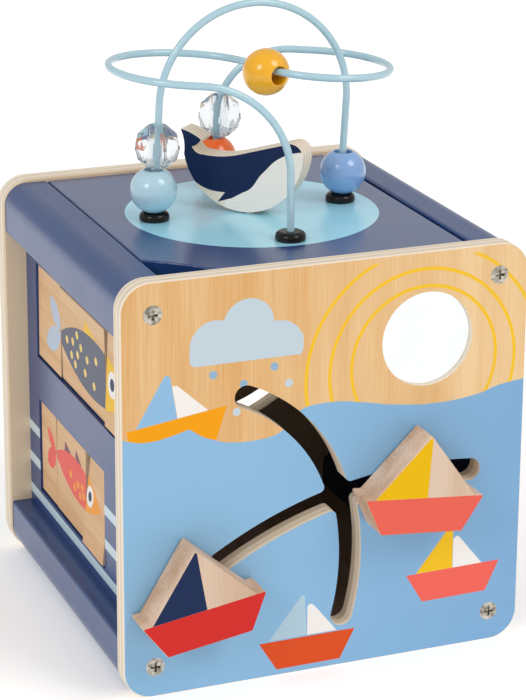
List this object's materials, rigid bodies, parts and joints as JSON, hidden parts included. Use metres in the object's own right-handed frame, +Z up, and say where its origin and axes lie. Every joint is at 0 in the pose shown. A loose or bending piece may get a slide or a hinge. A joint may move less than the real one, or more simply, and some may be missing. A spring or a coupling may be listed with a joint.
{
  "type": "wooden activity cube",
  "caption": "Wooden activity cube with sliding boats on slotted panels, flip tiles, meshing gears, a round mirror and a lift-off lid that carries a bead maze and a spinning whale.",
  "frame": {"origin": "on the standing surface, under the middle of the cube", "axes": "+X to the viewer's right facing the mirror panel, +Y from the mirror panel to the rear panel, +Z up"},
  "size_m": [0.2, 0.2324, 0.3016],
  "materials": {
    "plywood": "clear satin lacquer over birch plywood, with a printed picture on the front and rear faces",
    "plain_wood": "sanded, unpainted",
    "tile_ply": "printed faces over bare plywood edges",
    "navy_paint": "satin navy paint",
    "steel": "zinc plated",
    "mirror": "silvered acrylic",
    "black_rubber": "matt",
    "light_blue_coat": "glossy light blue coating on steel wire",
    "whale_paint": "navy and white print over plywood",
    "boat_red": "painted front face over bare wood",
    "boat_coral": "painted front face over bare wood",
    "bead_light_blue": "gloss paint",
    "bead_blue": "gloss paint",
    "bead_orange": "gloss paint",
    "bead_yellow": "gloss paint",
    "clear": "clear cut acrylic"
  },
  "bodies": {
    "cube": {"front_panel": "plywood", "rear_panel": "plywood", "front_screws": "steel", "rear_screws": "steel", "rail_top_left": "navy_paint", "rail_top_right": "navy_paint", "rail_bottom_left": "navy_paint", "rail_bottom_right": "navy_paint", "mirror_disc": "mirror", "left_board": "navy_paint", "right_board": "navy_paint", "base_board": "plywood", "lid_batten_left": "plywood", "lid_batten_right": "plywood", "gear_pins": "plain_wood", "upper_tile_rod": "steel", "lower_tile_rod": "steel"},
    "lid": {"lid": "navy_paint", "wire_grommets": "black_rubber", "wire_washers": "steel", "wire_nuts": "steel", "arch_wire": "light_blue_coat", "loop_wire": "light_blue_coat", "whale_washer": "steel"},
    "whale": {"whale": "whale_paint", "whale_screw": "steel"},
    "boat_one_peg": {"boat_one_peg": "plain_wood", "boat_one_disc": "plain_wood"},
    "boat_one": {"boat_one": "boat_red", "boat_one_screw": "steel"},
    "boat_two_peg": {"boat_two_peg": "plain_wood", "boat_two_disc": "plain_wood"},
    "boat_two": {"boat_two": "boat_coral", "boat_two_screw": "steel"},
    "rear_fish_peg": {"rear_fish_peg": "plain_wood", "rear_fish_disc": "plain_wood"},
    "rear_fish": {"rear_fish": "bead_orange", "rear_fish_screw": "steel"},
    "bead_light_blue": {"bead_light_blue": "bead_light_blue"},
    "bead_clear_left": {"bead_clear_left": "clear"},
    "bead_blue": {"bead_blue": "bead_blue"},
    "bead_orange": {"bead_orange": "bead_orange"},
    "bead_clear_rear": {"bead_clear_rear": "clear"},
    "bead_yellow": {"bead_yellow": "bead_yellow"},
    "upper_tile_tail": {"upper_tile_tail": "tile_ply"},
    "upper_tile_middle": {"upper_tile_middle": "tile_ply"},
    "upper_tile_head": {"upper_tile_head": "tile_ply"},
    "lower_tile_tail": {"lower_tile_tail": "tile_ply"},
    "lower_tile_middle": {"lower_tile_middle": "tile_ply"},
    "lower_tile_head": {"lower_tile_head": "tile_ply"},
    "large_gear": {"large_gear": "bead_yellow"},
    "upper_gear": {"upper_gear": "boat_coral"},
    "lower_gear": {"lower_gear": "bead_blue"}
  },
  "joints": [
    {"name": "lid_lift", "type": "slide", "parent": "cube", "child": "lid", "axis": [0, 0, 1], "range_m": [0, 0.07]},
    {"name": "whale_spin", "type": "hinge", "parent": "lid", "child": "whale", "pos_m": [0, 0, 0.205], "axis": [0, 0, 1], "continuous": true},
    {"name": "bead_light_blue_lift", "type": "slide", "parent": "lid", "child": "bead_light_blue", "axis": [0.0558, 0, 0.9984], "range_m": [0, 0.01]},
    {"name": "bead_clear_left_lift", "type": "slide", "parent": "lid", "child": "bead_clear_left", "axis": [0.0558, 0, 0.9984], "range_m": [0, 0.01]},
    {"name": "bead_blue_lift", "type": "slide", "parent": "lid", "child": "bead_blue", "axis": [0.0558, 0, 0.9984], "range_m": [0, 0.034]},
    {"name": "bead_clear_rear_ride", "type": "hinge", "parent": "lid", "child": "bead_clear_rear", "pos_m": [0.0341, 0.04057, 0.23204], "axis": [0.2695, 0.963, 0], "range_deg": [0, 30]},
    {"name": "bead_orange_lift", "type": "slide", "parent": "lid", "child": "bead_orange", "axis": [0, 0, 1], "range_m": [0, 0.0161]},
    {"name": "bead_yellow_ride", "type": "hinge", "parent": "lid", "child": "bead_yellow", "pos_m": [0.03728, 0.00469, 0.26689], "axis": [0.0698, 0, 0.9976], "range_deg": [0, 190]},
    {"name": "upper_tile_tail_flip", "type": "hinge", "parent": "cube", "child": "upper_tile_tail", "pos_m": [-0.084, 0, 0.136], "axis": [0, 1, 0], "continuous": true},
    {"name": "upper_tile_middle_flip", "type": "hinge", "parent": "cube", "child": "upper_tile_middle", "pos_m": [-0.084, 0, 0.136], "axis": [0, 1, 0], "continuous": true},
    {"name": "upper_tile_head_flip", "type": "hinge", "parent": "cube", "child": "upper_tile_head", "pos_m": [-0.084, 0, 0.136], "axis": [0, 1, 0], "continuous": true},
    {"name": "lower_tile_tail_flip", "type": "hinge", "parent": "cube", "child": "lower_tile_tail", "pos_m": [-0.084, 0, 0.0635], "axis": [0, 1, 0], "continuous": true},
    {"name": "lower_tile_middle_flip", "type": "hinge", "parent": "cube", "child": "lower_tile_middle", "pos_m": [-0.084, 0, 0.0635], "axis": [0, 1, 0], "continuous": true},
    {"name": "lower_tile_head_flip", "type": "hinge", "parent": "cube", "child": "lower_tile_head", "pos_m": [-0.084, 0, 0.0635], "axis": [0, 1, 0], "continuous": true},
    {"name": "boat_one_glide", "type": "hinge", "parent": "cube", "child": "boat_one_peg", "pos_m": [0.0513, -0.098, -0.1105], "axis": [0, 1, 0], "range_deg": [0, 15.5]},
    {"name": "boat_one_turn", "type": "hinge", "parent": "boat_one_peg", "child": "boat_one", "pos_m": [-0.06783, -0.098, 0.05226], "axis": [0, 1, 0], "continuous": true},
    {"name": "boat_two_glide", "type": "hinge", "parent": "cube", "child": "boat_two_peg", "pos_m": [0.0513, -0.098, -0.1105], "axis": [0, 1, 0], "range_deg": [-15, 7.7]},
    {"name": "boat_two_turn", "type": "hinge", "parent": "boat_two_peg", "child": "boat_two", "pos_m": [0.0418, -0.098, 0.09098], "axis": [0, 1, 0], "continuous": true},
    {"name": "rear_fish_glide", "type": "hinge", "parent": "cube", "child": "rear_fish_peg", "pos_m": [0, 0.098, 0.142], "axis": [0, 1, 0], "range_deg": [-45.5, 45.5]},
    {"name": "rear_fish_turn", "type": "hinge", "parent": "rear_fish_peg", "child": "rear_fish", "pos_m": [0, 0.098, 0.056], "axis": [0, 1, 0], "continuous": true},
    {"name": "large_gear_spin", "type": "hinge", "parent": "cube", "child": "large_gear", "pos_m": [0.0926, 0, 0.1], "axis": [1, 0, 0], "continuous": true},
    {"name": "upper_gear_spin", "type": "hinge", "parent": "cube", "child": "upper_gear", "pos_m": [0.0926, -0.04826, 0.1405], "axis": [1, 0, 0], "continuous": true},
    {"name": "lower_gear_spin", "type": "hinge", "parent": "cube", "child": "lower_gear", "pos_m": [0.0926, 0.04826, 0.0595], "axis": [1, 0, 0], "continuous": true}
  ],
  "couplings": [
    {"joint": "upper_gear_spin", "follows": "large_gear_spin", "ratio": -1.5},
    {"joint": "lower_gear_spin", "follows": "large_gear_spin", "ratio": -1.5},
    {"joint": "bead_light_blue_lift", "follows": "bead_clear_left_lift", "ratio": 1},
    {"joint": "bead_orange_lift", "follows": "bead_clear_rear_ride", "m_per_rad": 0.0305}
  ]
}
